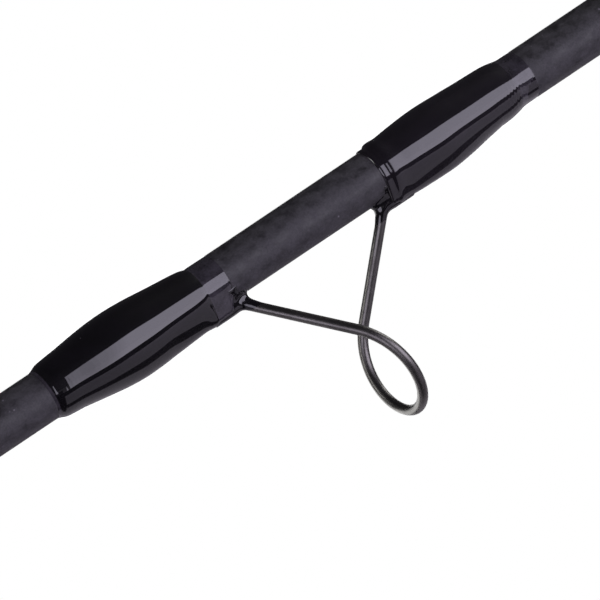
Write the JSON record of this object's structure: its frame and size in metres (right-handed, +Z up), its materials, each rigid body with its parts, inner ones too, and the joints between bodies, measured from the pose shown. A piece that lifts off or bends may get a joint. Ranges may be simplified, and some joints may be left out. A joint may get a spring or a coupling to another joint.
{
  "type": "fishing rod and reel",
  "caption": "Two-piece fly rod with dark carbon blank, wire snake guides under glossy black thread wraps, cork grip and a ported fly reel.",
  "frame": {"origin": "centre of the butt cap's end face", "axes": "+X along the rod from butt to tip, +Z up with guides and reel hanging on -Z, reel handle on -Y"},
  "size_m": [1.8315, 0.0584, 0.1084],
  "materials": {
    "blank": "satin dark grey carbon blank with a faint sparkle",
    "thread_wrap": "black thread under thick glossy clear varnish",
    "guide_wire": "black nickel plated wire",
    "ceramic": "polished dark ceramic",
    "cork": "sanded cork rings",
    "insert_wood": "oiled burl",
    "black_aluminium": "black anodised, satin",
    "steel": "stainless steel",
    "bronze": "sintered bronze",
    "drag_cork": "cork and rubber washer"
  },
  "bodies": {
    "rod": {"butt_cap": "black_aluminium", "butt_blank": "blank", "seat_barrel": "black_aluminium", "seat_insert": "insert_wood", "fixed_hood": "black_aluminium", "cork_grip": "cork", "winding_check": "black_aluminium", "hook_keeper_strap": "steel", "hook_keeper_tip_wrap": "thread_wrap", "hook_keeper_butt_wrap": "thread_wrap", "stripping_guide_frame": "guide_wire", "stripping_guide_ring": "ceramic", "stripping_guide_tip_wrap": "thread_wrap", "stripping_guide_butt_wrap": "thread_wrap", "snake_guide_1": "guide_wire", "snake_guide_1_tip_wrap": "thread_wrap", "snake_guide_1_butt_wrap": "thread_wrap", "reel_foot": "black_aluminium", "foot_screw_1": "steel", "foot_screw_2": "steel", "reel_frame": "black_aluminium", "spindle": "steel", "drag_disc": "drag_cork", "drag_spring": "steel"},
    "sliding_hood": {"sliding_hood": "black_aluminium"},
    "lock_ring": {"lock_ring": "black_aluminium"},
    "spool": {"spool": "black_aluminium", "spool_bush": "bronze", "pressure_plate": "steel", "spool_cap": "steel", "handle_post": "steel", "counterweight": "steel"},
    "handle": {"handle_knob": "black_aluminium"},
    "drag_knob": {"drag_knob": "black_aluminium"},
    "keeper_ring": {"hook_keeper_ring": "steel"},
    "tip_section": {"tip_blank": "blank", "ferrule_mouth_wrap": "thread_wrap", "ferrule_band_wrap": "thread_wrap", "tip_top_tube": "steel", "tip_top_loop": "steel", "tip_top_wrap": "thread_wrap", "snake_guide_2": "guide_wire", "snake_guide_2_tip_wrap": "thread_wrap", "snake_guide_2_butt_wrap": "thread_wrap", "snake_guide_3": "guide_wire", "snake_guide_3_tip_wrap": "thread_wrap", "snake_guide_3_butt_wrap": "thread_wrap", "snake_guide_4": "guide_wire", "snake_guide_4_tip_wrap": "thread_wrap", "snake_guide_4_butt_wrap": "thread_wrap", "snake_guide_5": "guide_wire", "snake_guide_5_tip_wrap": "thread_wrap", "snake_guide_5_butt_wrap": "thread_wrap", "snake_guide_6": "guide_wire", "snake_guide_6_tip_wrap": "thread_wrap", "snake_guide_6_butt_wrap": "thread_wrap", "snake_guide_7": "guide_wire", "snake_guide_7_tip_wrap": "thread_wrap", "snake_guide_7_butt_wrap": "thread_wrap"}
  },
  "joints": [
    {"name": "spool_spin", "type": "hinge", "parent": "rod", "child": "spool", "pos_m": [0.072, 0, -0.0585], "axis": [0, 1, 0], "continuous": true},
    {"name": "handle_spin", "type": "hinge", "parent": "spool", "child": "handle", "pos_m": [0.04998, 0, -0.07136], "axis": [0, 1, 0], "continuous": true},
    {"name": "drag_turn", "type": "hinge", "parent": "rod", "child": "drag_knob", "pos_m": [0.072, 0.018, -0.0585], "axis": [0, 1, 0], "range_deg": [0, 330]},
    {"name": "hood_slide", "type": "slide", "parent": "rod", "child": "sliding_hood", "axis": [-1, 0, 0], "range_m": [0, 0.0096]},
    {"name": "lock_ring_turn", "type": "hinge", "parent": "sliding_hood", "child": "lock_ring", "pos_m": [0.0253, 0, 0], "axis": [-1, 0, 0], "range_deg": [0, 1710]},
    {"name": "ferrule_slide", "type": "slide", "parent": "rod", "child": "tip_section", "axis": [1, 0, 0], "range_m": [0, 0.055]},
    {"name": "keeper_swing", "type": "hinge", "parent": "rod", "child": "keeper_ring", "pos_m": [0.306, 0, -0.00611], "axis": [0, 1, 0], "range_deg": [-75, 75]}
  ],
  "couplings": [
    {"joint": "hood_slide", "follows": "lock_ring_turn", "m_per_rad": 0.00031831}
  ]
}
